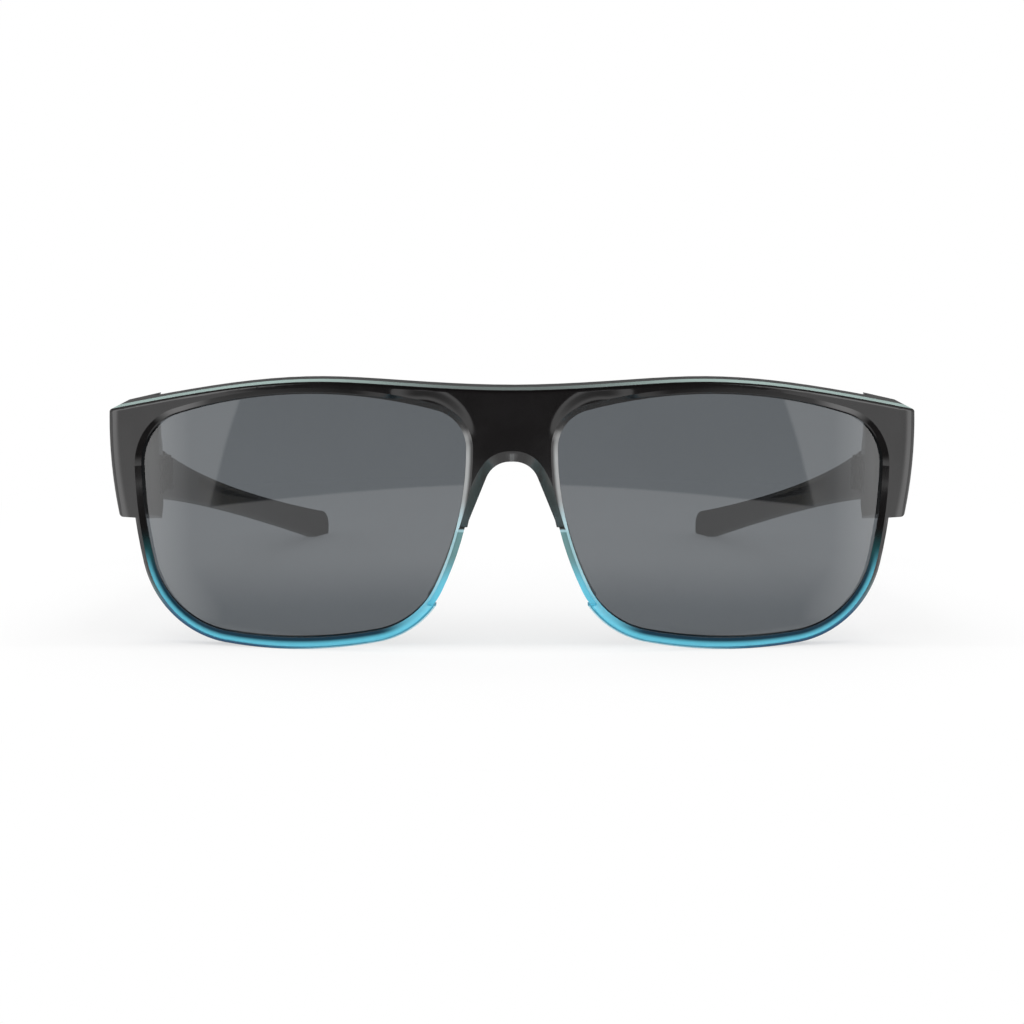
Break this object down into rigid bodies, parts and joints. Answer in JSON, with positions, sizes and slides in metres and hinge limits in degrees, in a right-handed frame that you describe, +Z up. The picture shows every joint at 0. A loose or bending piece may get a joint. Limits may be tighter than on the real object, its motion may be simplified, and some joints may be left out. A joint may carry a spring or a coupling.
{
  "type": "fitover sunglasses",
  "caption": "Wrap-around fitover sunglasses with grey lenses, a dark-to-clear blue frame, a brow visor and folding temples.",
  "frame": {"origin": "middle of the footprint on the table, on the plane that the rims and temple tips rest on", "axes": "+X towards the wearer's left temple, -Y the way the lenses look, +Z up"},
  "size_m": [0.1502, 0.148, 0.0498],
  "materials": {
    "frame": "gloss, dark above and clear blue towards the rims' lower edges",
    "temple": "gloss",
    "lens": "smooth neutral grey tint; the real lens is a polarised plastic",
    "hinge_metal": "plain"
  },
  "bodies": {
    "front": {"frame_front": "frame", "lens_left": "lens", "lens_right": "lens", "front_hinge_left": "hinge_metal", "front_hinge_right": "hinge_metal", "hinge_screw_left": "hinge_metal", "hinge_screw_right": "hinge_metal"},
    "left_arm": {"temple_left": "temple", "temple_hinge_left": "hinge_metal"},
    "right_arm": {"temple_right": "temple", "temple_hinge_right": "hinge_metal"}
  },
  "joints": [
    {"name": "fold_left", "type": "hinge", "parent": "front", "child": "left_arm", "pos_m": [0.0663, -0.04, 0.02888], "axis": [0, 0, 1], "range_deg": [0, 85]},
    {"name": "fold_right", "type": "hinge", "parent": "front", "child": "right_arm", "pos_m": [-0.0663, -0.04, 0.02888], "axis": [0, 0, -1], "range_deg": [0, 80]}
  ]
}
